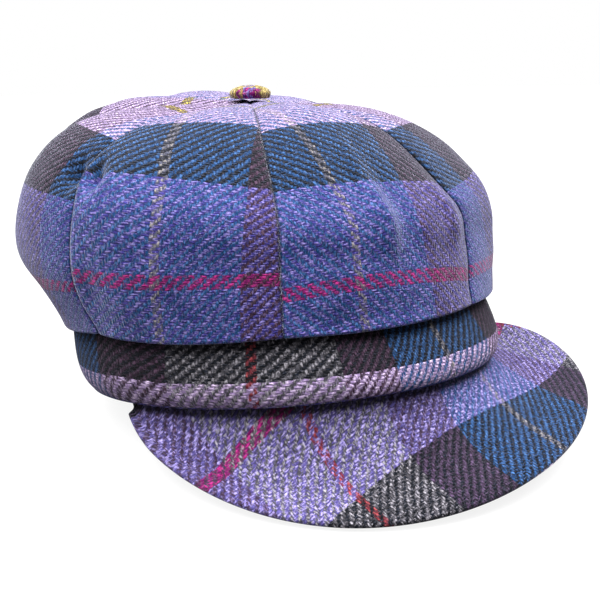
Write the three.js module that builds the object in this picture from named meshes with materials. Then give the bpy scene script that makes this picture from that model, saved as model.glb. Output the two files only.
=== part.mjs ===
// Baker boy cap: eight crown panels, a covered top button, a band and a two-layer peak.
// Millimetres, +Z up, the front of the cap towards -Y and the wearer's left towards +X.
// The cap stands on the front edge of its peak and on the back of its band, so the head
// ring is tipped up at the front. Angles run round the Z axis from the front, positive
// towards +X. "Rise" runs up a crown panel, from 0 at its folded lower edge to 1 at the centre.

import * as THREE from 'three';

// ---- driving dimensions ------------------------------------------------------------

const CLOTH = 2.0; // wall of the crown panels
const SEAM_GAP = 0.3; // clearance between neighbouring pieces
const FLOOR = -3.5; // the level that the cap rests on, at the back of its band and the edge of its peak

// The lower edge of the band: an oval, a little narrower behind, tipped up at the front.
const HEAD_RING = {
  frontLength: 104.4,
  backLength: 96.5,
  halfWidth: 85.8,
  backNarrowing: 0.05,
  centreY: -13.7,
  height: [33.5, 14.7, -4.3], // at the front, side and back
};

// The crown's form: at each rise the radius and height at the front, side and back.
const CROWN_ROWS = [
  { rise: 0.0, centreY: 0, radius: [110.2, 94.2, 93.5], height: [56.2, 44.7, 38.0], puff: 1.0 },
  { rise: 0.28, centreY: 0, radius: [102.5, 105.5, 119.5], height: [76.8, 74.0, 70.0], puff: 2.0 },
  { rise: 0.52, centreY: 0, radius: [93.5, 96.8, 103.5], height: [95.6, 106.5, 108.5], puff: 3.0 },
  { rise: 0.78, centreY: 8.1, radius: [60.5, 65.0, 65.0], height: [126.2, 126.2, 134.8], puff: 2.6 },
  { rise: 1.0, centreY: 8.1, radius: [0, 0, 0], height: [132.0, 132.0, 132.0], puff: 0.4 },
];

// The panels, from the one at the front round towards the wearer's left. Puff scales the
// swelling between the seams, sag drops the middle of the folded lower edge.
const PANELS = [
  { puff: 1.0, sag: 0.8 },
  { puff: 0.8, sag: 0.6 },
  { puff: 1.1, sag: 1.2 },
  { puff: 1.2, sag: 1.6 },
  { puff: 1.1, sag: 1.0 },
  { puff: 1.2, sag: 1.5 },
  { puff: 1.2, sag: 1.4 },
  { puff: 1.0, sag: 1.0 },
];
const SEAM_TURN = -3.5; // degrees that the panels are turned from the cap's centre line
const PANEL_TOP = 0.975; // rise where the panels end, under the button

// Folds that stand up from the crown: where, how high, how wide and how long.
const CROWN_FOLDS = [
  { panel: 0, across: 0.54, rise: 0.46, height: 2.4, width: 0.07, length: 0.15 },
  { panel: 0, across: 0.88, rise: 0.42, height: 1.6, width: 0.07, length: 0.14 },
  { panel: 0, across: 0.3, rise: 0.04, height: -1.6, width: 0.22, length: 0.09 },
  { panel: 1, across: 0.45, rise: 0.36, height: 1.6, width: 0.12, length: 0.2 },
  { panel: 2, across: 0.55, rise: 0.2, height: -2.0, width: 0.2, length: 0.12 },
  { panel: 3, across: 0.35, rise: 0.3, height: 2.2, width: 0.1, length: 0.16 },
  { panel: 4, across: 0.6, rise: 0.12, height: -2.4, width: 0.2, length: 0.1 },
  { panel: 5, across: 0.5, rise: 0.34, height: 2.0, width: 0.1, length: 0.18 },
  { panel: 6, across: 0.4, rise: 0.14, height: -2.0, width: 0.18, length: 0.1 },
  { panel: 7, across: 0.12, rise: 0.2, height: -1.6, width: 0.1, length: 0.14 },
];

// The hem that folds in under the crown's lower edge and meets the band: each row is a
// point of the section, inward and up from the foot of the wall.
const HEM_FACE = [
  { inward: 4.0, up: 1.4 },
  { inward: 1.8, up: -0.6 },
  { inward: 0.5, up: -0.5 },
];
const HEM_BACK = [
  { inward: 4.0, up: 3.4 },
  { inward: 2.7, up: 2.2 },
  { inward: 2.3, up: 2.6 },
];

const BAND = {
  wall: 2.6,
  tuck: 4.0, // how far the band stands inside the crown's lower edge: the hem's depth
  kneeDrop: 1.6, // the wall turns upright this far below the hem
  overlap: 6.0, // and goes on up behind it
  topLean: 1.0, // leaning in by this much
  belly: 2.2, // how far it swells out between its edges
  hemHeight: 9, // the turned-up lower edge, which is thicker
  hemWall: 3.6,
};

// The peak's reach and slope, by the angle in radians. It droops most on the wearer's
// right, where the cap leans on it, and its run is swept towards the left.
const PEAK = {
  cloth: 1.45, // wall of each layer
  halfSpan: 79.8, // degrees from the front to each corner
  reach: [50.5, 3.0], // at the front, and how it grows with the angle's square
  reachPower: 2.9,
  skew: -0.14, // how the reach changes towards the wearer's left
  slope: [42.5, -13.9, -16.6], // degrees down at the front, and by the angle and its square
  flattening: 24.8, // degrees that the slope eases by, from the band to the edge
  sweep: [0.92, -0.15], // how far the run leans towards the wearer's left, and forward
  inset: 2.5, // how far the inner edge goes in under the band
  drop: 0.6, // and how far below the band's edge it starts
  cornerStop: 0.998,
};

const PEAK_THICKNESS = 2 * PEAK.cloth + SEAM_GAP;

const BUTTON = { radius: 9.6, height: 6.2, rim: 2.2, seat: 133.2 };

// ---- small helpers -----------------------------------------------------------------

const rad = THREE.MathUtils.degToRad;

// An even function of the angle through its front, side and back values.
function around([front, side, back], angle) {
  const twice = (front + back - 2 * side) / 4;
  const once = (front - back) / 2;
  return side + twice + once * Math.cos(angle) + twice * Math.cos(2 * angle);
}

// A smooth curve through values given at uneven stations.
function throughStations(stations, values, at) {
  const last = stations.length - 1;
  let i = 0;
  while (i < last - 1 && at >= stations[i + 1]) i += 1;
  const slopeAt = (k) => {
    const a = Math.max(k - 1, 0);
    const b = Math.min(k + 1, last);
    return (values[b] - values[a]) / (stations[b] - stations[a]);
  };
  const span = stations[i + 1] - stations[i];
  const t = (at - stations[i]) / span;
  const startPull = t ** 3 - 2 * t ** 2 + t;
  const endPull = t ** 3 - t ** 2;
  const blend = 3 * t ** 2 - 2 * t ** 3;
  const value = values[i] * (1 - blend) + values[i + 1] * blend;
  return value + span * (slopeAt(i) * startPull + slopeAt(i + 1) * endPull);
}

function ringLength(angle) {
  return Math.cos(angle) > 0 ? HEAD_RING.frontLength : HEAD_RING.backLength;
}

// The outward direction of the head ring, level, at an angle.
function ringOutward(angle) {
  const x = Math.sin(angle) / HEAD_RING.halfWidth;
  const y = -Math.cos(angle) / ringLength(angle);
  return new THREE.Vector3(x, y, 0).normalize();
}

// A point on the head ring. The cloth is pressed flat where it would go below the floor.
function ringPoint(angle) {
  const narrowing = 1 - (HEAD_RING.backNarrowing * (1 - Math.cos(angle))) / 2;
  return new THREE.Vector3(
    HEAD_RING.halfWidth * Math.sin(angle) * narrowing,
    HEAD_RING.centreY - ringLength(angle) * Math.cos(angle),
    Math.max(around(HEAD_RING.height, angle), FLOOR),
  );
}

function unitNormal(alongFirst, alongSecond) {
  return new THREE.Vector3().crossVectors(alongFirst, alongSecond).normalize();
}

// ---- closed bodies from grids of points ----------------------------------------------

function bodyFrom(points, triangles) {
  const geometry = new THREE.BufferGeometry();
  const flat = points.flatMap((point) => [point.x, point.y, point.z]);
  geometry.setAttribute('position', new THREE.Float32BufferAttribute(flat, 3));
  geometry.setIndex(triangles);
  geometry.computeVertexNormals();
  return geometry;
}

// A sheet with thickness: a grid of points on its face and the matching grid on its back.
// Seen from the face, rows run to the right and columns run up.
function sheetBody(face, back) {
  const rows = face.length;
  const columns = face[0].length;
  const points = [...face.flat(), ...back.flat()];
  const backStart = rows * columns;
  const triangles = [];
  const quad = (a, b, c, d) => triangles.push(a, b, c, a, c, d);
  const at = (row, column) => row * columns + column;
  for (let row = 0; row < rows - 1; row += 1) {
    for (let column = 0; column < columns - 1; column += 1) {
      const [a, b] = [at(row, column), at(row + 1, column)];
      const [c, d] = [at(row + 1, column + 1), at(row, column + 1)];
      quad(a, b, c, d);
      quad(a + backStart, d + backStart, c + backStart, b + backStart);
    }
  }
  const rim = [];
  for (let row = 0; row < rows - 1; row += 1) rim.push(at(row, 0));
  for (let column = 0; column < columns - 1; column += 1) rim.push(at(rows - 1, column));
  for (let row = rows - 1; row > 0; row -= 1) rim.push(at(row, columns - 1));
  for (let column = columns - 1; column > 0; column -= 1) rim.push(at(0, column));
  rim.forEach((corner, i) => {
    const next = rim[(i + 1) % rim.length];
    quad(next, corner, corner + backStart, next + backStart);
  });
  return bodyFrom(points, triangles);
}

// A closed section carried all the way round: loops[i] is the section at one angle.
function hoopBody(loops) {
  const count = loops.length;
  const size = loops[0].length;
  const triangles = [];
  for (let i = 0; i < count; i += 1) {
    const next = (i + 1) % count;
    for (let j = 0; j < size; j += 1) {
      const after = (j + 1) % size;
      const [a, b] = [i * size + j, next * size + j];
      const [c, d] = [next * size + after, i * size + after];
      triangles.push(a, b, c, a, c, d);
    }
  }
  return bodyFrom(loops.flat(), triangles);
}

// ---- crown -----------------------------------------------------------------------------

const RISES = CROWN_ROWS.map((row) => row.rise);

// The smooth form of the crown, before seams and folds.
function crownForm(angle, rise) {
  const xs = CROWN_ROWS.map((row) => around(row.radius, angle) * Math.sin(angle));
  const ys = CROWN_ROWS.map((row) => row.centreY - around(row.radius, angle) * Math.cos(angle));
  const zs = CROWN_ROWS.map((row) => around(row.height, angle));
  return new THREE.Vector3(
    throughStations(RISES, xs, rise),
    throughStations(RISES, ys, rise),
    throughStations(RISES, zs, rise),
  );
}

// The level direction along the cloth and the direction straight out of it.
function crownDirections(angle, rise) {
  const step = 0.001;
  const upTo = Math.min(rise + step, 1);
  const sideways = crownForm(angle + step, rise).sub(crownForm(angle - step, rise));
  const upwards = crownForm(angle, upTo).sub(crownForm(angle, upTo - 2 * step));
  return { along: sideways.clone().normalize(), outward: unitNormal(sideways, upwards) };
}

// How far the cloth stands out from the smooth form: swollen between the seams, with folds.
function crownRelief(index, across, rise) {
  const puff = throughStations(RISES, CROWN_ROWS.map((row) => row.puff), rise);
  const swell = 1 - (2 * across - 1) ** 2;
  const folds = CROWN_FOLDS.filter((fold) => fold.panel === index).reduce((sum, fold) => {
    const sideways = ((across - fold.across) / fold.width) ** 2;
    const upwards = ((rise - fold.rise) / fold.length) ** 2;
    return sum + fold.height * Math.exp(-sideways - upwards);
  }, 0);
  const seamFade = Math.min(1, swell * 3);
  return PANELS[index].puff * puff * (swell - 0.5) + folds * seamFade;
}

function crownPanel(index) {
  const acrossSteps = 7;
  const wallSteps = 18;
  const columns = Array.from({ length: acrossSteps + 1 }, (_, i) => {
    return 0.5 - 0.5 * Math.cos((Math.PI * i) / acrossSteps);
  });
  const rises = Array.from({ length: wallSteps + 1 }, (_, j) => {
    return 0.02 + (PANEL_TOP - 0.02) * (j / wallSteps);
  });
  const panelAngle = 360 / PANELS.length;
  const face = [];
  const back = [];
  for (const across of columns) {
    const angle = rad(SEAM_TURN + panelAngle * (index + across - 0.5));
    const radial = new THREE.Vector3(Math.sin(angle), -Math.cos(angle), 0);
    const sag = PANELS[index].sag * Math.sin(Math.PI * across);
    const atSeam = across === 0 || across === 1;
    const side = atSeam ? Math.sign(0.5 - across) * (SEAM_GAP / 2) : 0;
    const place = (rise, depth) => {
      const { along, outward } = crownDirections(angle, rise);
      const lowering = sag * Math.max(0, 1 - rise / 0.3);
      return crownForm(angle, rise)
        .addScaledVector(outward, crownRelief(index, across, rise) - depth)
        .addScaledVector(along, side)
        .add(new THREE.Vector3(0, 0, -lowering));
    };
    const foot = place(0, 0);
    const hemPoint = ({ inward, up }) => {
      return foot.clone().addScaledVector(radial, -inward).add(new THREE.Vector3(0, 0, up));
    };
    face.push([...HEM_FACE.map(hemPoint), ...rises.map((rise) => place(rise, 0))]);
    back.push([...HEM_BACK.map(hemPoint), ...rises.map((rise) => place(rise, CLOTH))]);
  }
  return sheetBody(face, back);
}

// ---- band -------------------------------------------------------------------------------

// The foot of the crown's wall at an angle, seams and folds included.
function crownFoot(angle) {
  const panelAngle = 360 / PANELS.length;
  const turn = THREE.MathUtils.radToDeg(angle) - SEAM_TURN + panelAngle / 2;
  const position = ((turn % 360) + 360) % 360 / panelAngle;
  const index = Math.floor(position) % PANELS.length;
  const across = position - Math.floor(position);
  const { outward } = crownDirections(angle, 0);
  const sag = PANELS[index].sag * Math.sin(Math.PI * across);
  return crownForm(angle, 0)
    .addScaledVector(outward, crownRelief(index, across, 0))
    .add(new THREE.Vector3(0, 0, -sag));
}

function bandSection(angle) {
  const outward = ringOutward(angle);
  const bottom = ringPoint(angle);
  const radial = new THREE.Vector3(Math.sin(angle), -Math.cos(angle), 0);
  const knee = crownFoot(angle).addScaledVector(radial, -BAND.tuck - SEAM_GAP);
  knee.z -= BAND.kneeDrop;
  const top = knee.clone().addScaledVector(radial, -BAND.topLean);
  top.z += BAND.overlap;
  const wallPoint = (part, depth) => {
    const belly = BAND.belly * Math.sin(Math.PI * part) ** 0.8;
    return bottom.clone().lerp(knee, part).addScaledVector(outward, belly - depth);
  };
  const hemPart = BAND.hemHeight / (knee.z - bottom.z);
  const face = [0.05, 0.25, 0.5, 0.75, 1].map((part) => wallPoint(part, 0));
  const back = [
    wallPoint(1, BAND.wall),
    wallPoint(0.6, BAND.wall),
    wallPoint(hemPart, BAND.wall),
    wallPoint(hemPart * 0.85, BAND.hemWall),
  ];
  const topIn = top.clone().addScaledVector(radial, -BAND.wall);
  const underIn = bottom.clone().addScaledVector(outward, -BAND.hemWall + 0.8);
  const underOut = bottom.clone().addScaledVector(outward, -0.6);
  return [underOut, ...face, top, topIn, ...back, underIn];
}

function bandBody() {
  const steps = 72;
  const loops = Array.from({ length: steps }, (_, i) => bandSection((2 * Math.PI * i) / steps));
  return hoopBody(loops);
}

// ---- peak -------------------------------------------------------------------------------

function peakSurface(angle, part) {
  const squared = angle * angle;
  const ratio = Math.abs(angle) / rad(PEAK.halfSpan);
  const fullReach = (PEAK.reach[0] + PEAK.reach[1] * squared) * (1 + PEAK.skew * Math.sin(angle));
  const reach = fullReach * Math.sqrt(1 - ratio ** PEAK.reachPower);
  const [frontSlope, turn, droop] = PEAK.slope;
  const slope = rad(frontSlope + turn * angle + droop * squared - PEAK.flattening * (part - 0.5));
  const outward = ringOutward(angle);
  const heading = outward.clone().add(new THREE.Vector3(...PEAK.sweep, 0)).normalize();
  const start = ringPoint(angle).addScaledVector(outward, -PEAK.inset);
  start.z -= PEAK.drop + part * reach * Math.sin(slope);
  return start.addScaledVector(heading, part * reach * Math.cos(slope));
}

function peakDown(angle, part) {
  const step = 0.001;
  const limit = rad(PEAK.halfSpan) * 0.95;
  const held = THREE.MathUtils.clamp(angle, -limit, limit);
  const across = peakSurface(held + step, part).sub(peakSurface(held - step, part));
  const out = peakSurface(held, part + step).sub(peakSurface(held, part - step));
  return unitNormal(across, out);
}

// One layer of the peak, between two depths below its upper surface.
function peakLayer(topDepth, underDepth) {
  const spanSteps = 30;
  const reachParts = [0, 0.2, 0.42, 0.62, 0.8, 0.92, 1];
  const face = [];
  const back = [];
  for (let i = 0; i <= spanSteps; i += 1) {
    const swing = Math.sin((Math.PI / 2) * ((2 * i) / spanSteps - 1));
    const angle = rad(PEAK.halfSpan) * PEAK.cornerStop * swing;
    const place = (part, depth) => {
      const surface = peakSurface(angle, part);
      const down = peakDown(angle, part);
      const lift = Math.max(0, FLOOR - surface.z - PEAK_THICKNESS * down.z);
      return surface.addScaledVector(down, depth).add(new THREE.Vector3(0, 0, lift));
    };
    face.push(reachParts.map((part) => place(part, topDepth)).reverse());
    back.push(reachParts.map((part) => place(part, underDepth)).reverse());
  }
  return sheetBody(face, back);
}

// ---- button -------------------------------------------------------------------------------

function buttonBody() {
  const profile = [new THREE.Vector2(0, 0), new THREE.Vector2(BUTTON.radius - 1.2, 0)];
  const domeSteps = 6;
  for (let i = 0; i <= domeSteps; i += 1) {
    const turn = (Math.PI / 2) * (i / domeSteps);
    profile.push(new THREE.Vector2(
      i === domeSteps ? 0 : BUTTON.radius * Math.cos(turn),
      BUTTON.rim + (BUTTON.height - BUTTON.rim) * Math.sin(turn),
    ));
  }
  const geometry = new THREE.LatheGeometry(profile, 20);
  geometry.rotateX(Math.PI / 2);
  return geometry;
}

// ---- assembly -------------------------------------------------------------------------------

const material = (color, roughness) => new THREE.MeshStandardMaterial({ color, roughness, metalness: 0 });
const crownTweed = material(0x5d5a96, 0.95);
const bandTweed = material(0x2d3550, 0.95);
const peakTweed = material(0x6d5c8c, 0.95);
const peakLining = material(0x1d2440, 0.85);
const buttonTweed = material(0x8c7a2e, 0.95);

const group = new THREE.Group();

function addPiece(name, geometry, pieceMaterial) {
  const mesh = new THREE.Mesh(geometry, pieceMaterial);
  mesh.name = name;
  group.add(mesh);
  return mesh;
}

PANELS.forEach((_, index) => addPiece(`crown_panel_${index + 1}`, crownPanel(index), crownTweed));
addPiece('band', bandBody(), bandTweed);
addPiece('peak_top', peakLayer(0, PEAK.cloth), peakTweed);
addPiece('peak_under', peakLayer(PEAK.cloth + SEAM_GAP, PEAK_THICKNESS), peakLining);
const button = addPiece('top_button', buttonBody(), buttonTweed);
button.position.set(0, CROWN_ROWS[CROWN_ROWS.length - 1].centreY, BUTTON.seat);

// The origin is under the middle of the whole cap, on the surface that it rests on.
const reach = new THREE.Box3().setFromObject(group).getCenter(new THREE.Vector3());
group.position.set(-reach.x, -reach.y, -FLOOR);

export default group;
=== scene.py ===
import math

import bmesh
import bpy
import numpy as np
from mathutils import Matrix, Vector


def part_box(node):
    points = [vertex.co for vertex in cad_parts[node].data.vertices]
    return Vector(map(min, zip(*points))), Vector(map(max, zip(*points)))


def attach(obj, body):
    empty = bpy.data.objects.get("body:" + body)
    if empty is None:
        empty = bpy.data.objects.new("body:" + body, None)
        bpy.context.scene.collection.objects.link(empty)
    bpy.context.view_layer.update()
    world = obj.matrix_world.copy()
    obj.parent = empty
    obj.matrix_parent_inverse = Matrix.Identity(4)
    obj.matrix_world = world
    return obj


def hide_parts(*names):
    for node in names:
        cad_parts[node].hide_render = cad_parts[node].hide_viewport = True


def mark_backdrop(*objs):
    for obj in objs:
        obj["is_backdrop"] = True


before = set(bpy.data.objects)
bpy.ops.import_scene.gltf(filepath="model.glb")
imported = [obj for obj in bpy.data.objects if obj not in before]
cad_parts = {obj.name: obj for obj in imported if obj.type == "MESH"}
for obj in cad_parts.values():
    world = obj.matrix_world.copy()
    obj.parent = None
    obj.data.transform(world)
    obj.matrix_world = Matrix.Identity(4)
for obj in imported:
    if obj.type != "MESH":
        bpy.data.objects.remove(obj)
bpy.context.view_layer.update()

# Baker boy cap: eight crown panels of checked tweed, a covered button, a band and a
# two-layer peak. The shapes are worked out in millimetres, with the front of the cap
# towards -Y and the wearer's left towards +X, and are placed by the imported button.

MM = 0.001

# ---- sizes of the cap, in millimetres and degrees ----------------------------------------

FLOOR = -3.5  # the level that the cap rests on, at the back of its band and the edge of its peak

# The lower edge of the band: an oval, a little narrower behind, tipped up at the front.
HEAD_RING = {
    "front_length": 104.4,
    "back_length": 96.5,
    "half_width": 85.8,
    "back_narrowing": 0.05,
    "centre_y": -13.7,
    "height": (33.5, 14.7, -4.3),  # at the front, side and back
}

# The crown's form, by rise: 0 is the foot of its wall, 1 the button. Each row has how far back
# the centre lies, the radius and the height at front, side and back, and the panels' swell.
CROWN_ROWS = [
    {"rise": 0.0, "back": 0.0, "radius": (110.2, 94.2, 93.5), "height": (56.2, 44.7, 38.0), "puff": 1.0},
    {"rise": 0.28, "back": 0.0, "radius": (102.5, 105.5, 119.5), "height": (76.8, 74.0, 70.0), "puff": 2.0},
    {"rise": 0.52, "back": 0.0, "radius": (93.5, 96.8, 103.5), "height": (95.6, 106.5, 108.5), "puff": 3.0},
    {"rise": 0.78, "back": 8.1, "radius": (60.5, 65.0, 65.0), "height": (126.2, 126.2, 134.8), "puff": 2.6},
    {"rise": 1.0, "back": 8.1, "radius": (0, 0, 0), "height": (132.0, 132.0, 132.0), "puff": 0.4},
]
RISES = [row["rise"] for row in CROWN_ROWS]
INSIDE_CROWN = 60.0  # height of a point inside the crown, which every panel faces away from
SEAM_TURN = -3.5  # degrees that the panels are turned from the cap's centre line
PANEL_TOP = 0.99  # rise where the panels end, under the button

# The panels, from the one at the front round towards the wearer's left: how far they
# swell, how far the lower edge sags, and where the check lies on each. "Line" is where
# its tan line runs, across from the middle; "stripe" is how far up its magenta one runs.
PANELS = [
    {"puff": 1.0, "sag": 0.8, "line": -12.5, "stripe": 17.2, "tilt": -1.5, "turned": True},
    {"puff": 0.8, "sag": 0.6, "line": -43.0, "stripe": 13.0, "tilt": 0.0, "turned": True},
    {"puff": 1.1, "sag": 1.2, "line": 33.0, "stripe": 20.0, "tilt": 2.0, "turned": False},
    {"puff": 1.2, "sag": 1.6, "line": -12.0, "stripe": 58.0, "tilt": 1.0, "turned": False},
    {"puff": 1.1, "sag": 1.0, "line": 21.0, "stripe": 60.0, "tilt": -2.0, "turned": True},
    {"puff": 1.2, "sag": 1.5, "line": -28.0, "stripe": 48.0, "tilt": 1.0, "turned": True},
    {"puff": 1.2, "sag": 1.4, "line": 47.0, "stripe": 23.0, "tilt": 0.0, "turned": False},
    {"puff": 1.0, "sag": 1.0, "line": -4.0, "stripe": 22.0, "tilt": 0.8, "turned": False},
]
SAG_REACH = 0.3  # rise up to which the lower edge's sag is felt

# Cloth that was eased as it was sewn, by panel: how its stripes bend and lean, and how far
# the side before its tan line is drawn in.
SEWN_CLOTH = {"bow": 0.0, "lean": 0.0, "draw": 1.0}
EASED_CLOTH = {0: {"bow": 0.002, "lean": 0.03}, 7: {"draw": 0.66}}

# Seams that wander: by the panel before the seam, degrees off its straight run at each rise.
SEAM_DRIFT = {
    0: {"rises": (0, 0.12, 0.3, 0.45, 0.6, 0.78, 1), "turns": (0, 1.5, 5.0, 5.8, 4.2, 3.0, 0)},
    6: {"rises": (0, 0.12, 0.3, 0.45, 0.56, 0.78, 1), "turns": (0, -3.0, -3.6, -4.2, -5.6, -2.0, 0)},
}

# Folds that stand up from the crown, and dents, which go down: where, how high, how wide
# and how long.
CROWN_FOLDS = [
    {"panel": 0, "across": 0.46, "rise": 0.46, "height": 2.8, "width": 0.045, "length": 0.16},
    {"panel": 0, "across": 0.57, "rise": 0.46, "height": -1.6, "width": 0.06, "length": 0.14},
    {"panel": 0, "across": 0.88, "rise": 0.42, "height": 2.0, "width": 0.06, "length": 0.14},
    {"panel": 0, "across": 0.3, "rise": 0.04, "height": -1.6, "width": 0.22, "length": 0.09},
    {"panel": 1, "across": 0.45, "rise": 0.36, "height": 1.6, "width": 0.12, "length": 0.2},
    {"panel": 2, "across": 0.55, "rise": 0.2, "height": -2.0, "width": 0.2, "length": 0.12},
    {"panel": 3, "across": 0.35, "rise": 0.3, "height": 2.2, "width": 0.1, "length": 0.16},
    {"panel": 4, "across": 0.6, "rise": 0.12, "height": -2.4, "width": 0.2, "length": 0.1},
    {"panel": 5, "across": 0.5, "rise": 0.34, "height": 2.0, "width": 0.1, "length": 0.18},
    {"panel": 6, "across": 0.4, "rise": 0.14, "height": -2.0, "width": 0.18, "length": 0.1},
    {"panel": 6, "across": 0.95, "rise": 0.56, "height": -7.0, "width": 0.08, "length": 0.05},
    {"panel": 7, "across": 0.05, "rise": 0.56, "height": -7.0, "width": 0.08, "length": 0.05},
    {"panel": 7, "across": 0.12, "rise": 0.2, "height": -1.6, "width": 0.1, "length": 0.14},
]

CLOTH = 1.5  # wall of the crown panels
PRESSING = {"size": 0.35, "wavelength": 26, "climb": 150, "seed": 11}  # unevenness of the crown's cloth

# The valley that the sewing pulls in. It is as deep as this where a panel has its full width,
# and the painted shade along the seams fades out under the button.
SEAM = {"dip": 0.6, "reach": 1.3, "full_width": 40, "fades_from": 0.88, "fading": 30}

# The crown's folded lower edge, as steps inward and up from the foot of its wall.
HEM_FOLD = [(0.0, 0.0), (0.3, -0.6), (1.2, -0.95), (2.6, -0.3), (4.2, 1.2)]

BAND = {
    "wall": 2.6,
    "tuck": 4.3,  # how far the band stands inside the crown's lower edge
    "knee_drop": 1.6,  # the wall turns upright this far below that edge
    "overlap": 6.0,  # how far it goes on up inside the crown
    "top_lean": 1.0,  # and how far it leans inward there
    "foot_part": 0.04,  # where the rolled lower edge begins
    "belly": 4.2,  # how far the wall swells out
    "belly_low": 0.62,  # under 1, the fullest part lies below the middle
    "strip": 9.3,  # height of the pale strip at the lower edge
}
# How far round the band from the front, and where the check's repeat has come to there.
BAND_CHART = [
    (-300, -284),
    (-137, -134.5),
    (-96, -109),
    (-64, -82.5),
    (-32, -55.5),
    (-12, -30.5),
    (11, 0),
    (60, 50),
    (300, 290),
]

# The peak's reach and slope, by the angle in radians. It droops most on the wearer's right,
# where the cap leans on it, and its run is swept towards the left.
PEAK = {
    "half_span": 79.8,
    "reach": (50.5, 3.0),  # at the front, and how it grows with the angle's square
    "reach_power": 2.9,  # how square its corners are
    "skew": -0.14,  # how much longer it is on the wearer's right
    "slope": (42.5, -13.9, -16.6),  # degrees down at the front, and by the angle and its square
    "flattening": 24.8,  # degrees that the slope eases by, from the band to the edge
    "sweep": (0.92, -0.15),  # turns its run to the left and forward
    "inset": 2.5,  # how far it is sewn in under the band
    "drop": 0.6,  # how far below the band's edge it starts
    "corner_stop": 0.998,  # the share of the half span that is built, just short of a point
    "crowding": 1.6,  # how much closer the rows lie towards the edge
    "shade_share": 0.5,  # the painted shade beside the band is twice as wide as at a seam
    "thickness": 3.2,  # both layers together
    "cloth": 0.9,  # wall of each layer
    "roll": 0.8,  # radius of the tweed's turn over the edge
    "edge_drop": 1.6,  # how far the top bends down to its edge
    "edge_width": 9.0,
    "lining_roll": 0.8,
    "lining_inset": 0.9,  # how far the lining stops short of the edge
    "lining_ease": 4.0,  # and how far in from the edge that is felt
}

# Where the check lies on the peak, whose cloth is cut turned and eased over the curve. Each is
# a level place, then how it grows with x, y, x squared, x times y and y squared, where x and y
# are counted in steps from the middle, just in front of the band.
PEAK_CLOTH = {
    "step": 50,
    "middle_y": -125,
    "across": (-40.8, 53.6, 12.9, -2.1, 1.6, -0.3),
    "up": (-31.0, -8.8, 53.9, -5.2, 1.6, -5.9),
}

BUTTON = {
    "radius": 9.6,
    "height": 6.2,
    "rim": 2.2,  # height of its widest part
    "foot": [(2.5, 0.1), (0.7, 0.5)],  # steps in from the radius, and their heights
    "pleats": 11,
    "pleat_depth": 0.05,
    "pleat_height": 3.52,
    "seat": 133.2,
    "turn": -31.7,  # the way its check faces
    "check_front": 8.4,  # how far forward of the middle the magenta yarn lies
}

# The button's seat, measured from the cap's own origin, places that origin in the frame.
BUTTON_SEAT = Vector((0, CROWN_ROWS[-1]["back"], BUTTON["seat"])) * MM
foot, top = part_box("top_button")
ORIGIN = Vector(((foot.x + top.x) / 2, (foot.y + top.y) / 2, foot.z)) - BUTTON_SEAT


# ---- small helpers ------------------------------------------------------------------------


def around(values, angle):
    """An even function of the angle through its front, side and back values."""
    front, side, back = values
    twice = (front + back - 2 * side) / 4
    once = (front - back) / 2
    return side + twice + once * np.cos(angle) + twice * np.cos(2 * angle)


def through_stations(stations, values, at):
    """A smooth curve through values given at uneven stations; one column for each place."""
    values = np.asarray(values, float)
    last = len(stations) - 1
    before = np.maximum(np.arange(last + 1) - 1, 0)
    after = np.minimum(np.arange(last + 1) + 1, last)
    stops = np.asarray(stations, float)
    slopes = (values[after] - values[before]) / (stops[after] - stops[before])[:, None]
    start = np.clip(np.searchsorted(stops, at, side="right") - 1, 0, last - 1)
    column = np.arange(values.shape[1])
    span = stops[start + 1] - stops[start]
    t = (at - stops[start]) / span
    blend = 3 * t**2 - 2 * t**3
    value = values[start, column] * (1 - blend) + values[start + 1, column] * blend
    pull = slopes[start, column] * (t**3 - 2 * t**2 + t) + slopes[start + 1, column] * (t**3 - t**2)
    return value + span * pull


def unit(vectors):
    return vectors / np.linalg.norm(vectors, axis=-1, keepdims=True)


def stack(x, y, z):
    return np.stack(np.broadcast_arrays(x, y, z), axis=-1).astype(float)


def radial(angle):
    """The level direction straight out from the cap's axis."""
    return stack(np.sin(angle), -np.cos(angle), 0 * angle)


def ripple(along, across, seed, size, wavelength):
    """Soft unevenness of hand-pressed cloth: a few crossing waves, the same each run."""
    chance = np.random.default_rng(seed)
    total = 0 * along
    waves = 6
    for _ in range(waves):
        turn, phase, stretch = chance.uniform(0, 2 * np.pi, 3)
        step = 2 * np.pi / (wavelength * (0.7 + 0.1 * stretch))
        total = total + np.sin(step * (along * np.cos(turn) + across * np.sin(turn)) + phase)
    return size * total / waves


# ---- meshes from grids --------------------------------------------------------------------

NO_SEAM = 1000.0  # stands for a seam that is far away


def finished(name, bm, material):
    """A bmesh made into a smooth-shaded object at the origin."""
    mesh = bpy.data.meshes.new(name)
    bm.to_mesh(mesh)
    bm.free()
    mesh.materials.append(material)
    mesh.polygons.foreach_set("use_smooth", [True] * len(mesh.polygons))
    piece = bpy.data.objects.new(name, mesh)
    bpy.context.scene.collection.objects.link(piece)
    return piece


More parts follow.
